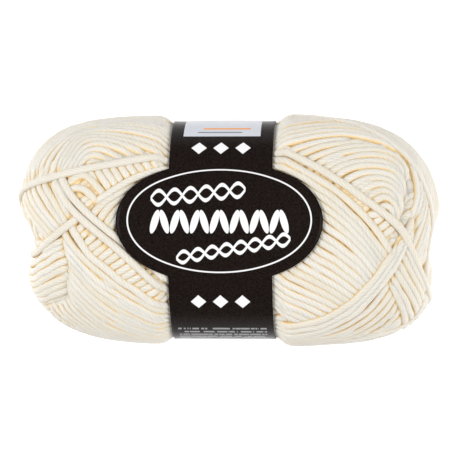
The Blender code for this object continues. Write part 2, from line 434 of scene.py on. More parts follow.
def front_place(x, y):
    """Where a point seen from above lies on the upper face: distance along the outline, and turn."""
    x = np.clip(x, -0.995 * HALF_LENGTH, 0.995 * HALF_LENGTH)
    along = np.sign(x) * np.interp(np.abs(x), OUTLINE_X, OUTLINE_ALONG)
    girth = np.interp(np.abs(along), OUTLINE_ALONG, OUTLINE_GIRTH)
    y = y + END_DRIFT * np.sign(x) * np.abs(x / HALF_LENGTH) ** END_DRIFT_POWER
    turns = np.linspace(-math.pi / 2.0, math.pi / 2.0, 721)
    across = roundness(turns) * np.sin(turns)
    return along, np.interp(y / (HALF_WIDTH * girth), across, turns)


class WindingGrid:
    """The wound form on a grid, with the top and the underside of the strands placed so far."""

    def __init__(self):
        self.along = np.linspace(-END_ALONG, END_ALONG, GRID_ALONG)
        self.turn = np.linspace(-math.pi, math.pi, GRID_ROUND, endpoint=False)
        along, turn = np.meshgrid(self.along, self.turn, indexing="ij")
        self.point, self.inside = wound_point(along, turn)
        ahead = np.gradient(self.point, axis=0)
        wrapped = np.concatenate([self.point[:, -1:], self.point, self.point[:, :1]], axis=1)
        round_ = np.gradient(wrapped, axis=1)[:, 1:-1]
        normal = unit(np.cross(round_, ahead))
        out = self.point - np.array([0.0, 0.0, AXIS_HEIGHT])
        out[..., 0] = np.where(np.abs(self.point[..., 0]) > END_FACE_X, self.point[..., 0], 0.0)
        flip = np.sign((normal * out).sum(-1, keepdims=True))
        normal = normal * np.where(flip == 0.0, 1.0, flip)
        pole = np.sign(self.along)[:, None, None] * np.array([1.0, 0.0, 0.0])
        near_pole = (np.abs(np.abs(self.along) - END_ALONG) < POLE_REACH)[:, None, None]
        self.normal = np.where(near_pole, pole, normal)
        self.top = np.full(self.point.shape[:2], -CORE_DEPTH)
        self.under = np.full(self.point.shape[:2], NOTHING_ABOVE)

    def cells(self, along, turn):
        """The row and the column that places have on the grid, as fractions."""
        row = (along + END_ALONG) / (2.0 * END_ALONG) * (GRID_ALONG - 1)
        return row, ((turn + math.pi) / TURN % 1.0) * GRID_ROUND

    def read(self, layer, along, turn):
        """A layer's values between the grid's points."""
        row, column = self.cells(along, turn)
        row = np.clip(row, 0.0, GRID_ALONG - 1.001)
        low_row = row.astype(int)
        low_column = column.astype(int) % GRID_ROUND
        next_column = (low_column + 1) % GRID_ROUND
        row_share = row - low_row
        column_share = column - np.floor(column)
        if layer.ndim == 3:
            row_share = row_share[:, None]
            column_share = column_share[:, None]
        near, far = (
            layer[rows, low_column] * (1 - column_share) + layer[rows, next_column] * column_share
            for rows in (low_row, low_row + 1)
        )
        return near * (1 - row_share) + far * row_share

    def lay(self, along, turn, centre, half_width, half_height):
        """Marks the top and the underside of a strand where it lies."""
        point = self.read(self.point, along, turn)
        rows, columns = (cell.round().astype(int) for cell in self.cells(along, turn))
        row_reach = int(math.ceil(half_width / (2.0 * END_ALONG / GRID_ALONG))) + 1
        column_size = np.maximum(radius_at(along), 0.0008) * TURN / GRID_ROUND
        column_reach = np.minimum(np.ceil(1.15 * half_width / column_size), GRID_ROUND // 2 - 1)
        for i in range(len(along)):
            near_rows = slice(max(rows[i] - row_reach, 0), min(rows[i] + row_reach + 1, GRID_ALONG))
            reach = int(column_reach[i])
            near = np.arange(columns[i] - reach, columns[i] + reach + 1) % GRID_ROUND
            away = ((self.point[near_rows, near] - point[i]) ** 2).sum(-1) / half_width**2
            away = away ** (0.5 * SQUARENESS)
            bulge = half_height * np.clip(1.0 - away, 0.0, 1.0) ** (1.0 / SQUARENESS)
            old = self.top[near_rows, near]
            self.top[near_rows, near] = np.where(away < 1.0, np.maximum(old, centre[i] + bulge), old)
            old = self.under[near_rows, near]
            self.under[near_rows, near] = np.where(away < 0.25, np.minimum(old, centre[i] - bulge), old)

    def softened_top(self, width, highest):
        """The strands' top up to this height, blurred over this width on the skein."""
        waves = np.fft.rfftfreq(GRID_ROUND, d=1.0 / GRID_ROUND)
        spread = np.minimum(width / np.maximum(radius_at(self.along), 0.001), 3.0)
        soft = np.exp(-0.5 * (waves[None, :] * spread[:, None]) ** 2)
        top = np.fft.rfft(np.minimum(self.top, highest), axis=1)
        top = np.fft.irfft(top * soft, n=GRID_ROUND, axis=1)

        step_along = 2.0 * END_ALONG / (GRID_ALONG - 1)
        reach = int(3 * width / step_along)
        held = np.concatenate([top[:1].repeat(reach, 0), top, top[-1:].repeat(reach, 0)])
        summed = np.zeros_like(top)
        for offset, weight in enumerate(bell(np.arange(-reach, reach + 1) * step_along / width)):
            summed += weight * held[offset : offset + GRID_ALONG]
        return summed


def walk(along, turn, slope, limit):
    """A taut strand's way over the form, from a place and slope, until it is under the band again."""
    places = []
    travelled = 0.0
    side = 1.0 if along >= 0.0 else -1.0
    while travelled < limit:
        radius = max(float(radius_at(along)), LEAST_RADIUS)
        thinning = float(radius_at(along + SLOPE_REACH)) - float(radius_at(along - SLOPE_REACH))
        thinning /= 2.0 * SLOPE_REACH
        along += STEP * math.cos(slope)
        turn += STEP * math.sin(slope) / radius
        slope -= STEP * math.sin(slope) * thinning / radius
        travelled += STEP
        places.append((along, turn))
        if along * side < WAY_ENDS:
            break
    return places


ROUTE_POINTS = 80
POINTS_BETWEEN = 16


def routed(guide):
    """A smooth line through a guide's points, at even steps: x and y."""
    points = np.array(guide, dtype=float) * MM
    if len(points) == 2:
        points = np.array([points[0], points.mean(axis=0), points[1]])
    ends = np.array([2 * points[0] - points[1], 2 * points[-1] - points[-2]])
    knots = np.concatenate([ends[:1], points, ends[1:]])
    line = []
    for i in range(len(points) - 1):
        before, start, stop, after = knots[i : i + 4]
        for share in np.linspace(0.0, 1.0, POINTS_BETWEEN, endpoint=False):
            square, cube = share**2, share**3
            line.append(0.5 * (
                2.0 * start + (stop - before) * share
                + (2.0 * before - 5.0 * start + 4.0 * stop - after) * square
                + (3.0 * start - before - 3.0 * stop + after) * cube))
    line.append(points[-1])
    line = np.array(line)
    along = running_sum(np.linalg.norm(np.diff(line, axis=0), axis=1))
    even = np.linspace(0.0, along[-1], ROUTE_POINTS)
    return np.stack([np.interp(even, along, line[:, k]) for k in (0, 1)], axis=1)


def gap_between(first, second):
    """How far apart two lines of a swath lie on the form, square to the first, over their wider part."""
    over = [wound_point(*front_place(line[:, 0], line[:, 1]))[0] for line in (first, second)]
    way = unit(np.gradient(over[0], axis=0))
    apart = over[1] - over[0]
    apart -= way * (apart * way).sum(axis=1, keepdims=True)
    return np.percentile(np.linalg.norm(apart, axis=1), 75)


def swath_routes(guides, pitch, rng):
    """Each strand's route on the upper face, spaced by the pitch between the swath's guides."""
    lines = [routed(guide) for guide in guides]
    reached = running_sum([gap_between(first, second) for first, second in zip(lines, lines[1:])])
    strands = int(round(reached[-1] / pitch)) + 1
    routes = []
    for i in range(strands):
        place = reached[-1] * i / max(strands - 1, 1) + rng.normal(0.0, 0.05) * pitch
        share = float(np.interp(place, reached, np.arange(len(lines))))
        low = min(int(share), max(len(lines) - 2, 0))
        high = min(low + 1, len(lines) - 1)
        part = share - low
        line = lines[low] * (1.0 - part) + lines[high] * part
        trim = RAGGED_ENDS / np.linalg.norm(np.diff(line, axis=0), axis=1).sum() * len(line)
        first, last = rng.uniform(0.0, trim, 2).astype(int)
        routes.append(line[first : len(line) - last])
    return routes


def whole_route(line, going_on):
    """A route on the upper face, and how deep its ends are tucked: an end that goes on is carried over the
    form until it is under the band, the other ends go on a little way, sinking."""
    along, turn = front_place(line[:, 0], line[:, 1])
    radius = radius_at(along)
    length = running_sum(np.hypot(np.diff(along), radius[1:] * np.diff(turn)))
    count = max(int(length[-1] / STEP), 4)
    even = np.linspace(0.0, length[-1], count)
    along = blurred(np.interp(even, length, along), 2.0)
    turn = blurred(np.interp(even, length, turn), 2.0)

    def onward(end, inner, goes_on):
        """The places past an end, and how far each is sunk."""
        d_along = along[end] - along[inner]
        d_turn = (turn[end] - turn[inner]) * float(radius_at(along[end]))
        slope = math.atan2(d_turn, d_along)
        if goes_on:
            places = walk(along[end], turn[end], slope, LONGEST_END)
            return places, [0.0] * len(places)
        places = walk(along[end], turn[end], slope, TUCK_LENGTH)
        return places, list(TUCK_DEPTH * smooth_step(np.arange(len(places)) * STEP, TUCK_STARTS, TUCK_LENGTH))

    reach = min(6, count - 1)
    before, sunk_before = onward(0, reach, going_on in ("first", "both"))
    after, sunk_after = onward(-1, -1 - reach, going_on in ("last", "both"))
    places = np.array(before[::-1] + list(zip(along, turn)) + after)
    for joint in (len(before), len(before) + count):
        near = np.exp(-(((np.arange(len(places)) - joint) / JOINT_REACH) ** 2))
        for k in (0, 1):
            places[:, k] += near * (blurred(places[:, k], 0.5 * JOINT_REACH) - places[:, k])
    return places, np.array(sunk_before[::-1] + [0.0] * count + sunk_after)


def precession_routes(rng):
    """The strands of the rounds below the swaths, in the order they are wound."""
    routes = []
    for name, slope, strands, level in PRECESSIONS:
        for i in range(strands):
            for side, half in ((-1.0, "left_"), (1.0, "right_")):
                turn = TURN * i / strands + 0.4 * side + rng.normal(0.0, 0.08) * TURN / strands
                start = math.radians(slope) + rng.normal(0.0, 0.012)
                heading = start if side > 0 else math.pi - start
                places = walk(side * UNDER_BAND * 0.9, turn, heading, LONGEST_ROUND)
                routes.append((half + name, np.array(places), level * MM))
    return routes


class Strand:
    """One strand's way over the form, its height there and its own small unevenness."""

    def __init__(self, group, places, level, rng, half_width, half_height):
        self.group = group
        self.level = level
        self.flush = np.max(level) < FLUSH_LEVEL
        steps = np.arange(len(places)) * STEP
        wander = np.zeros(len(places))
        for wave in WANDER_WAVES:
            wander += rng.normal(0.0, WANDER) * np.sin(TURN * steps / wave + rng.uniform(0.0, TURN))
        self.along = places[:, 0]
        self.turn = places[:, 1]
        self.slope = np.arctan2(np.gradient(self.turn) * radius_at(self.along), np.gradient(self.along))
        self.along = self.along - wander * np.sin(self.slope)
        self.turn = self.turn + wander * np.cos(self.slope) / np.maximum(radius_at(self.along), POLE_RADIUS)
        self.half_width = half_width
        self.half_height = half_height
        self.phase = rng.uniform(0.0, 1.0)
        self.tint = rng.uniform(0.0, 1.0)
        self.steps = steps

    def beside(self, offset):
        """Places beside the strand, at this distance to its left."""
        along = np.clip(self.along - offset * np.sin(self.slope), -END_ALONG, END_ALONG)
        return along, self.turn + offset * np.cos(self.slope) / np.maximum(radius_at(self.along), POLE_RADIUS)


def settle(grid, strand, press):
    """Lays a strand at its level, drawn under every strand that was wound after it, and keeps what shows."""
    room = grid.read(grid.under, strand.along, strand.turn)
    for offset in (-0.25, 0.25):
        along, turn = strand.beside(offset * strand.half_width)
        room = np.minimum(room, grid.read(grid.under, along, turn))
    highest = np.minimum(room - (1.0 - press) * strand.half_height, strand.level)
    highest = np.maximum(highest, -DEEPEST)
    centre = highest.copy()
    for _ in range(4):
        soft = centre.copy()
        soft[1:-1] = 0.25 * centre[:-2] + 0.5 * centre[1:-1] + 0.25 * centre[2:]
        centre = np.minimum(highest, soft)
    strand.centre = blurred(centre, 0.9)

    shows = np.zeros(len(strand.along), dtype=bool)
    for offset in (-0.8, -0.4, 0.0, 0.4, 0.8):
        along, turn = strand.beside(offset * strand.half_width)
        top = strand.centre + strand.half_height * (1.0 - abs(offset) ** SQUARENESS) ** (1.0 / SQUARENESS)
        shows |= top > grid.read(grid.top, along, turn) - SHOWS_WITHIN
    shows &= grid.read(grid.inside, strand.along, strand.turn) < SHOWS_UNDER_PAPER
    kept = shows.copy()
    for reach in range(1, 5):
        kept[reach:] |= shows[:-reach]
        kept[:-reach] |= shows[reach:]
    edges = np.flatnonzero(np.diff(np.concatenate([[False], kept, [False]]).astype(int)))
    stretches = zip(edges[::2], edges[1::2])
    strand.stretches = [(start, stop) for start, stop in stretches if stop - start >= SHORTEST_STRETCH]
    for start, stop in strand.stretches:
        along, turn, centre = (line[start:stop] for line in (strand.along, strand.turn, strand.centre))
        grid.lay(along, turn, centre, strand.half_width, strand.half_height)


# ---------------------------------------------------------------- strands as meshes


def ring_faces(rings, sides):
    """The faces between neighbouring rings of points, four corners each."""
    ring = np.arange(rings - 1)[:, None] * sides
    spoke = np.arange(sides)[None, :]
    after = (spoke + 1) % sides
    corners = [ring + spoke, ring + after, ring + sides + after, ring + sides + spoke]
    return np.stack(corners, axis=-1).reshape(-1, 4)


class TubeBatch:
    """The stretches of many strands, gathered into one mesh."""

    def __init__(self):
        self.points = []
        self.faces = []
        self.places = []
        self.depth = []
        self.tint = []
        self.count = 0

    def add(self, centres, side, up, tops, strand, first, widths):
        """One stretch: rings of points round its middle line, and a cap at each end."""
        rings = len(centres)
        angle = np.arange(STRAND_SIDES) / STRAND_SIDES * TURN
        wide = np.sign(np.cos(angle)) * np.abs(np.cos(angle)) ** (2.0 / SQUARENESS)
        high = np.sign(np.sin(angle)) * np.abs(np.sin(angle)) ** (2.0 / SQUARENESS)
        across = wide[None, :, None] * side[:, None, :] * (strand.half_width * widths)[:, None, None]
        rise = high[None, :, None] * up[:, None, :] * (strand.half_height * widths)[:, None, None]
        body = centres[:, None, :] + across + rise
        # How far each point lies below the strands' softened top, kept as the depth attribute that lays the
        # painted crevice shade on; a flush strand's own sides below its seam share take that painted shade
        # too.
        below = tops[:, None] - high[None, :] * strand.half_height
        if strand.flush:
            below = np.maximum(below, (SEAM_STARTS - high[None, :]) * strand.half_height)
        points = np.concatenate([body.reshape(-1, 3), centres[:1], centres[-1:]])
        self.points.append(points)
        # The end caps count as deep, so they take the full painted crevice shade.
        self.depth.append(np.concatenate([below.ravel(), [CAP_DEPTH, CAP_DEPTH]]))
        self.tint.append(np.full(len(points), strand.tint))

        self.faces.extend((ring_faces(rings, STRAND_SIDES) + self.count).tolist())
        length = (first + np.arange(rings) * RING_EVERY) * STEP * STRAND_UV_SCALE
        low = np.broadcast_to(length[:-1, None], (rings - 1, STRAND_SIDES))
        high = np.broadcast_to(length[1:, None], (rings - 1, STRAND_SIDES))
        near = np.broadcast_to(np.arange(STRAND_SIDES)[None, :] / STRAND_SIDES, low.shape)
        far = near + 1.0 / STRAND_SIDES
        corners = [np.stack([along, around + strand.phase], axis=-1)
                   for along, around in ((low, near), (low, far), (high, far), (high, near))]
        self.places.append(np.stack(corners, axis=2).reshape(-1, 2))

        start_cap = self.count + rings * STRAND_SIDES
        last = self.count + (rings - 1) * STRAND_SIDES
        for i in range(STRAND_SIDES):
            j = (i + 1) % STRAND_SIDES
            self.faces.append([start_cap, self.count + j, self.count + i])
            self.faces.append([start_cap + 1, last + i, last + j])
            self.places.append(np.full((6, 2), length[0]))
        self.count += len(points)

    def build(self, name):
        """The gathered stretches as one object at the origin."""
        item = meshed(name, np.concatenate(self.points).tolist(), self.faces)
        mesh = item.data
        layer = mesh.uv_layers.new(name="strand")
        layer.data.foreach_set("uv", np.concatenate(self.places).ravel())
        for label, values in (("depth", self.depth), ("tint", self.tint)):
            attribute = mesh.attributes.new(label, "FLOAT", "POINT")
            attribute.data.foreach_set("value", np.concatenate(values))
        mesh.shade_smooth()
        return item


def across_and_up(centres, normals):
    """The directions across a strand and out of it, at each of its rings."""
    ahead = unit(np.gradient(centres, axis=0))
    side = unit(np.cross(ahead, normals))
    return side, np.cross(side, ahead)


FIBRE_RINGS = 6
FIBRE_SIDES = 3
FIBRE_RISE = 0.00010
FIBRE_RISE_SPREAD = 0.00012
FIBRE_ROOT = 0.00002


class Fibres:
    """Loose fibres that leave a strand's surface and come back to it."""

    def __init__(self, rng, width):
        self.rng = rng
        self.width = width
        self.points = []

    def grow(self, centres, side, up, strand, number):
        """This many fibres on one stretch of a strand."""
        rings = len(centres)
        share = np.linspace(0.0, 1.0, FIBRE_RINGS)
        spokes = np.arange(FIBRE_SIDES) / FIBRE_SIDES * TURN
        for _ in range(number):
            start = self.rng.uniform(0.0, rings - 2.0)
            place = np.clip(start + share * self.rng.uniform(1.5, 4.5), 0.0, rings - 1.001)
            low = place.astype(int)
            part = (place - low)[:, None]
            middle = centres[low] * (1.0 - part) + centres[low + 1] * part
            angle = self.rng.uniform(0.15, 0.85) * math.pi + share * self.rng.normal(0.5, 0.5)
            rise = abs(self.rng.normal(FIBRE_RISE, FIBRE_RISE_SPREAD))
            off = np.sin(share * math.pi) * rise - FIBRE_ROOT
            wide = (strand.half_width + off) * np.cos(angle)
            high = (strand.half_height + off) * np.sin(angle)
            line = middle + side[low] * wide[:, None] + up[low] * high[:, None]
            out = side[low] * np.cos(angle)[:, None] + up[low] * np.sin(angle)[:, None]
            across = unit(np.cross(np.gradient(line, axis=0), out))
            thin = (0.5 * self.width * (0.35 + 0.65 * np.sin(share * math.pi)))[:, None, None]
            ring = np.cos(spokes)[:, None] * out[:, None] + np.sin(spokes)[:, None] * across[:, None]
            self.points.append((line[:, None] + ring * thin).reshape(-1, 3))

    def build(self, name):
        """The fibres as one object at the origin."""
        size = FIBRE_RINGS * FIBRE_SIDES
        faces = ring_faces(FIBRE_RINGS, FIBRE_SIDES).tolist()
        faces += [list(reversed(range(FIBRE_SIDES))), list(range(size - FIBRE_SIDES, size))]
        every = [[corner + size * i for corner in face] for i in range(len(self.points)) for face in faces]
        points = np.concatenate(self.points)
        points[:, 2] = np.maximum(points[:, 2], FIBRE_ROOT)
        return meshed(name, points.tolist(), every)


def gathered(grid, strands, fibres, number):
    """Every visible stretch of the strands, in a batch for each group, with its share of the loose fibres."""
    total = sum(stop - start for strand in strands for start, stop in strand.stretches)
    batches = {}
    # The strands' softened top, from which the painted crevice shade is measured.
    crest = grid.softened_top(CREST_BLUR, strands[0].half_height)
    for strand in strands:
        under = smooth_step(grid.read(grid.inside, strand.along, strand.turn), UNDER_FROM, UNDER_TO)
        raised = np.maximum(strand.centre, 0.0) * under
        level = strand.centre - raised - strand.half_height + FULLNESS - (PAPER_CLEARANCE + FULLNESS) * under
        lowest = strand.half_height + GROUND_CLEARANCE
        for start, stop in strand.stretches:
            picks = np.arange(start, stop, RING_EVERY)
            point = grid.read(grid.point, strand.along[picks], strand.turn[picks])
            normal = unit(grid.read(grid.normal, strand.along[picks], strand.turn[picks]))
            centres = point + normal * level[picks][:, None]
            centres[:, 2] = np.maximum(centres[:, 2], lowest)
            for k in range(3):
                centres[:, k] = blurred(centres[:, k], 0.8)
            centres[:, 2] = np.maximum(centres[:, 2], lowest)
            # How far below that top the strand lies, no deeper than DEEPEST_SHADE, for the painted crevice
            # shade.
            sunk = np.maximum(strand.centre[picks], -DEEPEST_SHADE)
            tops = grid.read(crest, strand.along[picks], strand.turn[picks]) - sunk
            wave = strand.steps[picks] / THICK_AND_THIN_WAVE + strand.phase
            widths = 1.0 + THICK_AND_THIN * np.sin(TURN * wave)
            side, up = across_and_up(centres, normal)
            batches.setdefault(strand.group, TubeBatch()).add(centres, side, up, tops, strand, start, widths)
            if len(centres) > 5:
                fibres.grow(centres, side, up, strand, fibres.rng.poisson(number * (stop - start) / total))
    return batches


# ---------------------------------------------------------------- shader maths


def adds(operation, swapped=False):
    """A method of Signal that adds this Math node, with the signal as its first value or as its last."""

    def method(self, *others):
        values = (*others, self) if swapped else (self, *others)
        return self.finish.maths(operation, *values)

    return method


class Signal:
    """A number in a shader: a socket with Python's operators, each adding a Math node."""

    def __init__(self, finish, socket):
        self.finish = finish
        self.socket = socket

    __add__ = __radd__ = adds("ADD")
    __sub__ = adds("SUBTRACT")
    __rsub__ = adds("SUBTRACT", swapped=True)
    __mul__ = __rmul__ = adds("MULTIPLY")
    __truediv__ = adds("DIVIDE")
    __pow__ = adds("POWER")
    __abs__ = adds("ABSOLUTE")
    __lt__ = adds("LESS_THAN")
    __gt__ = adds("GREATER_THAN")
    sin = adds("SINE")
    root = adds("SQRT")
    most = adds("MAXIMUM")
    floor = adds("FLOOR")
    wrapped = adds("FRACT")

    def step(self, low, high):
        """0 below low, 1 above high, soft between."""
        return Signal(self.finish, self.finish.node(
            "ShaderNodeMapRange", {"interpolation_type": "SMOOTHSTEP"},
            {"Value": self, "From Min": low, "From Max": high}).outputs["Result"])


class Finish:
    """A material under construction."""

    def __init__(self, name):
        self.material = bpy.data.materials.new(name)
        self.material.use_nodes = True
        self.tree = self.material.node_tree
        self.shader = self.tree.nodes["Principled BSDF"]

    def node(self, kind, settings, values):
        """Any node: its type, its settings, then what its sockets hold."""
        node = self.tree.nodes.new(kind)
        for key, value in settings.items():
            setattr(node, key, value)
        for key, value in values.items():
            self.feed(node.inputs[key], value)
        return node

    def feed(self, socket, value):
        if isinstance(value, Signal):
            value = value.socket
        if isinstance(value, bpy.types.NodeSocket):
            self.tree.links.new(value, socket)
        elif socket.type == "RGBA":
            socket.default_value = (*value, 1.0)
        else:
            socket.default_value = value

    def maths(self, operation, *values):
        node = self.node("ShaderNodeMath", {"operation": operation}, dict(enumerate(values)))
        return Signal(self, node.outputs["Value"])

    def mix(self, share, first, second):
        """From the first colour to the second, by this share."""
        return self.node("ShaderNodeMix", {"data_type": "RGBA"}, {0: share, 6: first, 7: second}).outputs[2]

    def attribute(self, name):
        node = self.node("ShaderNodeAttribute", {"attribute_name": name}, {})
        return Signal(self, node.outputs["Fac"])

    def place(self, name):
        """A UV map's two numbers."""
        uv = self.node("ShaderNodeUVMap", {"uv_map": name}, {})
        parts = self.node("ShaderNodeSeparateXYZ", {}, {"Vector": uv.outputs["UV"]})
        return Signal(self, parts.outputs["X"]), Signal(self, parts.outputs["Y"])

    def noise(self, scale, detail=2.0, roughness=0.5, vector=None):
        if vector is None:
            vector = self.node("ShaderNodeTexCoord", {}, {}).outputs["Object"]
        node = self.node("ShaderNodeTexNoise", {},
                         {"Vector": vector, "Scale": scale, "Detail": detail, "Roughness": roughness})
        return Signal(self, node.outputs["Fac"])

    def vector(self, x, y, z):
        return self.node("ShaderNodeCombineXYZ", {}, {"X": x, "Y": y, "Z": z}).outputs["Vector"]

    def bump(self, height, distance, strength=1.0):
        node = self.node("ShaderNodeBump", {}, {"Strength": strength, "Distance": distance, "Height": height})
        return node.outputs["Normal"]

    def set(self, **values):
        for key, value in values.items():
            self.feed(self.shader.inputs[key.replace("_", " ")], value)
        return self.material


PLIES = 8
PLY_PITCH = 0.0125


def cotton_finish(settings):
    """Plied cotton: slanting plies, fine fibres, cream on the crests, painted shade in the ply valleys and
    painted warm tan shade in the crevices between the strands.
    """
    finish = Finish("cotton_yarn")
    along, around = finish.place("strand")
    along = along / STRAND_UV_SCALE
    wobble = finish.noise(420.0, 1.0)
    ply = (around * PLIES + along * (PLIES / PLY_PITCH) + (wobble - 0.5) * 0.5).wrapped()
    valley = abs(ply - 0.5) * 2.0
    crest = 1.0 - valley * valley
    tint = finish.attribute("tint")
    fibre = finish.noise(1.0, 3.0, 0.6, finish.vector(
        along * 900.0 + around * 14.0, around * 60.0 - along * 300.0, tint * 40.0))
    height = crest * 0.6 + fibre * 0.6
    # Painted shade: the crevice tan, laid on by how far a point lies below the strands' softened top.
    shade = finish.attribute("depth").step(0.0, 0.00036)
    cream = finish.mix(tint, settings.cream, settings.pale_cream)
    # Painted shade in the ply valleys, warmer and darker, with a little random fibre tone.
    cream = finish.mix((1.0 - crest) * 0.35 + (1.0 - fibre) * 0.15, cream, settings.painted_ply_shade_and_tone)
    colour = finish.mix(shade, cream, settings.painted_crevice_shade)
    return finish.set(Base_Color=colour, Roughness=0.9, Normal=finish.bump(height, 0.00020, 0.75),
                      Specular_IOR_Level=0.15, Subsurface_Weight=0.4, Subsurface_Scale=0.0008,
                      Subsurface_Radius=(1.0, 0.9, 0.8))


def fibre_finish(settings):
    """Fine cotton fibres, a little paler or warmer from place to place."""
    finish = Finish("cotton_fibres")
    colour = finish.mix(finish.noise(300.0, 1.0), settings.cream, settings.pale_cream)
    return finish.set(Base_Color=colour, Roughness=0.9, Specular_IOR_Level=0.1)


def core_finish(settings):
    """The turns far down between the strands, in painted shade: the crevice tan and a deeper tan, mixed at
    random.
    """
    finish = Finish("inner_turns_painted_shade")
    colour = finish.mix(finish.noise(260.0, 2.0), settings.painted_crevice_shade, settings.painted_deep_shade)
    return finish.set(Base_Color=colour, Roughness=0.95)


# ---------------------------------------------------------------- the paper band


BAND_COLUMNS = 48
OVAL_ROWS = 97
BACK_ROWS = 56


def paper_rows():
    """The arcs of the band's rows, once round from behind: close over the oval, wider apart elsewhere."""
    low = OVAL_ARC - OVAL_HALF_HEIGHT
    high = OVAL_ARC + OVAL_HALF_HEIGHT
    ease = 0.5 - 0.5 * np.cos(np.linspace(0.0, math.pi, OVAL_ROWS))
    oval = low + (high - low) * (0.5 * ease + 0.5 * np.linspace(0.0, 1.0, OVAL_ROWS))
    below = np.linspace(BAND_ARC[0], low, BACK_ROWS, endpoint=False)
    above = np.linspace(high, BAND_ARC[-1], BACK_ROWS)[1:-1]
    return np.concatenate([below, oval, above])


def make_band(name, paper):
    """The paper: a ring of rows that follows the skein, its front flared to the oval, with its thickness."""
    arcs = paper_rows()
    points = []
    places = []
    for arc in arcs:
        turn = np.interp(arc, BAND_ARC, BAND_TURN)
        left, right = band_edges(arc)
        for x in np.linspace(left, right, BAND_COLUMNS + 1):
            inset = paper_inset(x)
            y, z = section(turn, HALF_WIDTH - inset, HALF_DEPTH - inset)
            points.append((float(x), float(y), float(z) + AXIS_HEIGHT))
            places.append((arc, float(x) - BAND_X))
    rows = len(arcs)
    faces = []
    uv = []
    for row in range(rows):
        for column in range(BAND_COLUMNS):
            near = row * (BAND_COLUMNS + 1) + column
            far = ((row + 1) % rows) * (BAND_COLUMNS + 1) + column
            faces.append((near, near + 1, far + 1, far))
            lap = BAND_AROUND if row == rows - 1 else 0.0
            for corner, extra in ((near, 0.0), (near + 1, 0.0), (far + 1, lap), (far, lap)):
                arc, x = places[corner]
                uv.extend((0.5 + x / PRINT_SPAN, 0.5 + (arc + extra) / PRINT_SPAN))
    item = meshed(name, points, faces)
    item.data.uv_layers.new(name="print").data.foreach_set("uv", uv)
    item.data.shade_smooth()
    thickness = item.modifiers.new("paper", "SOLIDIFY")
    thickness.thickness = paper
    thickness.offset = 0.0
    bpy.ops.object.select_all(action="DESELECT")
    bpy.context.view_layer.objects.active = item
    item.select_set(True)
    bpy.ops.object.modifier_apply(modifier=thickness.name)
    return item


def paper_finish(settings):
    """Near-black satin paper, printed with a white oval line, knit stitches and plain rules. Millimetres."""
    finish = Finish("black_paper")
    across, along = finish.place("print")
    x = (across - 0.5) * (PRINT_SPAN / MM) - OVAL_X / MM
    y = (along - 0.5) * (PRINT_SPAN / MM) - OVAL_ARC / MM

    def soft(distance, half):
        """1 inside half a width of a line, with a slightly soft edge."""
        return 1.0 - abs(distance).step(half - 0.06, half + 0.06)

    def ring(u, v, a, b, half):
        """The outline of an ellipse with these semi-axes."""
        size = ((u / a) ** 2.0 + (v / b) ** 2.0).root().most(0.05)
        slope = ((u / (a * a)) ** 2.0 + (v / (b * b)) ** 2.0).root().most(0.001) / size
        return soft((size - 1.0) / slope, half)

    def twine(u, v, pitch, tall, half):
        """Two threads that twist round each other."""
        swing = (u * (TURN / pitch)).sin() * tall
        return soft((v - swing) * 0.8, half).most(soft((v + swing) * 0.8, half))

    # The oval's white line.
    ink = ring(x, y - 0.35, 24.4, 13.9, 0.20)

    # A row of knit stitches across the middle of the oval.
    leg = abs(((x / 5.3).wrapped() - 0.5) * 5.3)
    across_leaf = leg - 1.38 - y * 0.27
    leaf = across_leaf * across_leaf + (y / 3.2) ** 2.0
    ink = ink.most((1.0 - leaf.step(0.88, 1.0)) * (abs(x) < 18.55))

    # Twisted threads above the stitches and below them, the lower one climbing.
    u = x + 5.7
    ink = ink.most(twine(u, y - 7.4 - u * 0.10, 8.4, 1.9, 0.42) * (abs(u) < 12.6))
    u = x - 3.7
    ink = ink.most(twine(u, y + 7.1 - u * 0.17, 7.6, 1.5, 0.40) * (abs(u) < 15.2))

    # Three lozenges above the oval and three below it.
    for middle in (21.3, -22.2):
        cell = ((x / 5.9 + 0.5).wrapped() - 0.5) * 5.9
        marks = 1.0 - (abs(cell) + abs(y - middle)).step(2.0, 2.15)
        ink = ink.most(marks * (abs(x) < 8.4) * (abs(y - middle) < 3.0))

    # Plain rules for the care notes, and a pale panel with its own.
    line = (y / 1.85).floor()
    words = finish.noise(1.0, 1.0, 0.5, finish.vector(x * 1.3, line * 7.3, 0.0))
    notes = ((y / 1.85).wrapped() < 0.45) * (words > 0.43) * (abs(x) < 12.0)
    notes = notes * (y < -31.5) * (y > -43.0)
    panel = (abs(x) < 10.4) * (y > 26.0) * (y < 38.0)
    rules = soft(y - 27.9, 0.28) * (abs(x + 0.6) < 6.0)
    warm = soft(y - 30.0, 0.42) * (abs(x - 1.2) < 6.4)

    fibre = finish.noise(2600.0, 2.0).step(0.3, 0.7)
    black = finish.mix(fibre, settings.paper, settings.paper_light)
    colour = finish.mix(ink, black, settings.ink)
    colour = finish.mix(notes, colour, settings.notes)
    colour = finish.mix(panel, colour, settings.panel)
    colour = finish.mix(rules * panel, colour, (0.20, 0.22, 0.25))
    colour = finish.mix(warm * panel, colour, (0.80, 0.30, 0.06))
    rough = finish.noise(60.0, 2.0) * 0.05 + 0.20
    return finish.set(Base_Color=colour, Roughness=rough, Normal=finish.bump(fibre, 0.00002, 0.3),
                      Specular_IOR_Level=0.05)


# ---------------------------------------------------------------- settings


def length(name, description, default):
    return bpy.props.FloatProperty(name=name, description=description, default=default, unit="LENGTH",
                                   subtype="DISTANCE", precision=5)


def shade(name, description, default):
    return bpy.props.FloatVectorProperty(name=name, description=description, default=default, size=3,
                                         subtype="COLOR", min=0.0, max=1.0)


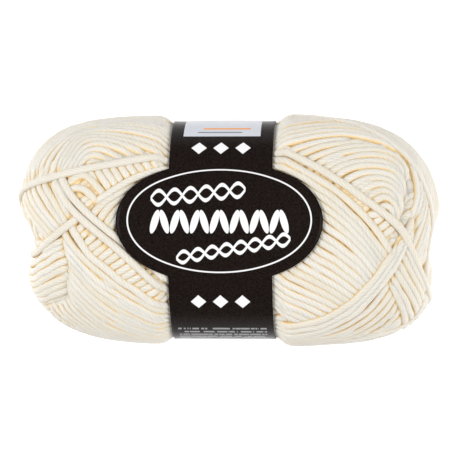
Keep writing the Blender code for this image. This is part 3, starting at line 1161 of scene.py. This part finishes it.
class YarnSettings(bpy.types.PropertyGroup):
    """The yarn's thickness and colours."""

    strand_width: length("Strand width", "Width of a strand as it lies", 0.00209)
    strand_height: length("Strand height", "Height of a strand as it lies", 0.00176)
    pitch: length("Pitch", "From one strand to the next across a swath", 0.00200)
    press: bpy.props.FloatProperty(name="Press", description="How far a strand sinks into those below, as a"
                                   " share of half its height", default=0.30, min=0.0, max=0.9)
    cream: shade("Cream", "Colour of a strand's crest", (0.725, 0.69, 0.60))
    pale_cream: shade("Pale cream", "The palest strands", (0.755, 0.735, 0.68))
    # Painted shade between the plies, with random fibre tone.
    painted_ply_shade_and_tone: shade("Warm cream", "Between the plies", (0.69, 0.60, 0.44))
    # Painted shade: the tan between the strands, also used on the inner turns.
    painted_crevice_shade: shade("Crevice", "Between the strands", (0.83, 0.64, 0.35))
    # Painted shade: the deeper tan on the inner turns far down between the strands.
    painted_deep_shade: shade("Deep crevice", "Far down between the strands", (0.64, 0.47, 0.27))
    fibres: bpy.props.IntProperty(name="Fibres", description="Loose fibres on the strands", default=4200,
                                  min=0)
    fibre_width: length("Fibre width", "Width of a loose fibre", 0.00004)


class BandSettings(bpy.types.PropertyGroup):
    """The paper band's thickness and colours."""

    paper_thickness: length("Paper thickness", "Thickness of the band's paper", 0.00025)
    paper: shade("Paper", "Near-black of the paper", (0.0050, 0.0031, 0.0026))
    paper_light: shade("Paper fibre", "The paper's lighter fibres", (0.0165, 0.0112, 0.0092))
    ink: shade("Ink", "White of the printed lines", (0.80, 0.80, 0.79))
    notes: shade("Notes", "Grey of the small print's rules", (0.30, 0.30, 0.30))
    panel: shade("Panel", "The pale panel over the top", (0.58, 0.60, 0.63))


class StudioSettings(bpy.types.PropertyGroup):
    """The camera, lights and floor."""

    camera_distance: length("Camera distance", "From the skein's middle to the camera", 0.620)
    camera_lean: bpy.props.FloatProperty(name="Camera lean", description="How far the camera leans toward +X",
                                         default=math.radians(3.7), subtype="ANGLE")
    view_width: length("View width", "Width of the view at the skein's middle", 0.1269)
    floor_shade: shade("Floor", "Colour of the floor", (0.95, 0.95, 0.95))
    floor_glow: bpy.props.FloatProperty(name="Floor glow", description="The floor's own brightness",
                                        default=0.30, min=0.0)
    sky: bpy.props.FloatProperty(name="Sky", description="Brightness of the even light all round",
                                 default=0.35, min=0.0)


# ---------------------------------------------------------------- operators


class SKEIN_OT_wind_yarn(bpy.types.Operator):
    """Winds the yarn: whole rounds below, then the listed swaths, and keeps what shows"""

    bl_idname = "skein.wind_yarn"
    bl_label = "Wind yarn"

    def execute(self, context):
        settings = context.scene.yarn_settings
        rng = np.random.default_rng(11)
        grid = WindingGrid()
        half_width = 0.5 * settings.strand_width
        half_height = 0.5 * settings.strand_height
        strands = []
        for group, places, level in precession_routes(rng):
            strands.append(Strand(group, places, level, rng, half_width, half_height))
        for name, level, going_on, guides in SWATHS:
            for line in swath_routes(guides, settings.pitch, rng):
                places, sunk = whole_route(line, going_on)
                strands.append(Strand(name, places, level * MM - sunk, rng, half_width, half_height))
        for strand in reversed(strands):
            settle(grid, strand, settings.press)
        fibres = Fibres(rng, settings.fibre_width)
        batches = gathered(grid, strands, fibres, settings.fibres)
        made = [(fibres.build("yarn_loose_fibres"), fibre_finish(settings))]
        cotton = cotton_finish(settings)
        made += [(batch.build("yarn_" + name), cotton) for name, batch in batches.items()]
        made.append((make_core("yarn_core", grid), core_finish(settings)))
        for item, finish in made:
            item.data.materials.append(finish)
            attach(item, "root")
            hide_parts("yarn")
        return {"FINISHED"}


def make_core(name, grid):
    """The turns below those that show, as one closed form a strand's depth down."""
    bpy.ops.object.select_all(action="DESELECT")
    bpy.ops.mesh.primitive_uv_sphere_add(segments=120, ring_count=80, radius=1.0)
    item = bpy.context.object
    item.name = name
    mesh = item.data
    ball = np.empty(len(mesh.vertices) * 3)
    mesh.vertices.foreach_get("co", ball)
    ball = ball.reshape(-1, 3)
    along = (2.0 * np.arccos(np.clip(-ball[:, 2], -1.0, 1.0)) / math.pi - 1.0) * END_ALONG
    turn = np.arctan2(ball[:, 0], ball[:, 1])
    normal = unit(grid.read(grid.normal, along, turn))
    point = grid.read(grid.point, along, turn) - normal * (CORE_DEPTH + CORE_CLEARANCE)
    hole = HOLE_DEPTH * smooth_step(np.abs(along), END_ALONG - HOLE_STARTS, END_ALONG - HOLE_FULL)
    point[:, 0] -= np.sign(point[:, 0]) * hole
    point[:, 2] = np.maximum(point[:, 2], LOWEST_CORE)
    mesh.vertices.foreach_set("co", point.ravel())
    mesh.update()
    mesh.shade_smooth()
    return item


class SKEIN_OT_wrap_band(bpy.types.Operator):
    """Wraps the printed paper band round the skein"""

    bl_idname = "skein.wrap_band"
    bl_label = "Wrap band"

    def execute(self, context):
        settings = context.scene.band_settings
        band = make_band("paper_band", settings.paper_thickness)
        band.data.materials.append(paper_finish(settings))
        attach(band, "root")
        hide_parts("label")
        return {"FINISHED"}


class SKEIN_OT_set_studio(bpy.types.Operator):
    """Sets the pale floor, the soft lights and the camera over the skein"""

    bl_idname = "skein.set_studio"
    bl_label = "Set studio"

    def execute(self, context):
        settings = context.scene.studio_settings
        scene = context.scene
        middle = Vector((0.0, 0.0, AXIS_HEIGHT))

        bpy.ops.object.select_all(action="DESELECT")
        bpy.ops.mesh.primitive_plane_add(size=6.0, location=(0.0, 0.0, -0.00005))
        floor = context.object
        floor.name = "floor"
        finish = Finish("floor")
        floor.data.materials.append(finish.set(
            Base_Color=settings.floor_shade, Roughness=0.9, Specular_IOR_Level=0.0,
            Emission_Color=(1.0, 1.0, 1.0), Emission_Strength=settings.floor_glow))

        world = bpy.data.worlds.new("studio")
        world.use_nodes = True
        background = world.node_tree.nodes["Background"]
        background.inputs["Color"].default_value = (0.93, 0.93, 1.0, 1.0)
        background.inputs["Strength"].default_value = settings.sky
        scene.world = world

        for name, place, size, energy in (
            ("left", (-0.95, 0.12, 0.95), 1.1, 15.2),
            ("right", (0.95, -0.12, 0.95), 1.1, 14.2),
        ):
            light = bpy.data.lights.new(name, "AREA")
            light.shape = "DISK"
            light.size = size
            light.energy = energy
            linked(name, light, place, (middle - Vector(place)).to_track_quat("-Z", "Y").to_euler())

        lean = settings.camera_lean
        camera = bpy.data.cameras.new("camera")
        camera.sensor_width = 36.0
        camera.lens = 36.0 * settings.camera_distance / settings.view_width
        camera.clip_start = 0.01
        away = Vector((math.sin(lean), 0.0, math.cos(lean))) * settings.camera_distance
        scene.camera = linked("camera", camera, middle + away, (0.0, lean, 0.0))
        scene.view_settings.view_transform = "Standard"
        return {"FINISHED"}


class SKEIN_PT_panel(bpy.types.Panel):
    """The skein's sizes, colours and makers"""

    bl_label = "Yarn Skein"
    bl_idname = "SKEIN_PT_panel"
    bl_space_type = "VIEW_3D"
    bl_region_type = "UI"
    bl_category = "Yarn Skein"

    def draw(self, context):
        for group, operator in (("yarn_settings", "skein.wind_yarn"), ("band_settings", "skein.wrap_band"),
                                ("studio_settings", "skein.set_studio")):
            box = self.layout.box()
            settings = getattr(context.scene, group)
            for name in settings.__annotations__:
                box.prop(settings, name)
            box.operator(operator)


CLASSES = (YarnSettings, BandSettings, StudioSettings, SKEIN_OT_wind_yarn, SKEIN_OT_wrap_band,
           SKEIN_OT_set_studio, SKEIN_PT_panel)


def register():
    for item in CLASSES:
        bpy.utils.register_class(item)
    bpy.types.Scene.yarn_settings = bpy.props.PointerProperty(type=YarnSettings)
    bpy.types.Scene.band_settings = bpy.props.PointerProperty(type=BandSettings)
    bpy.types.Scene.studio_settings = bpy.props.PointerProperty(type=StudioSettings)


def unregister():
    del bpy.types.Scene.studio_settings
    del bpy.types.Scene.band_settings
    del bpy.types.Scene.yarn_settings
    for item in reversed(CLASSES):
        bpy.utils.unregister_class(item)


def main():
    register()
    bpy.ops.skein.set_studio()
    bpy.ops.skein.wind_yarn()
    bpy.ops.skein.wrap_band()


if __name__ == "__main__":
    main()
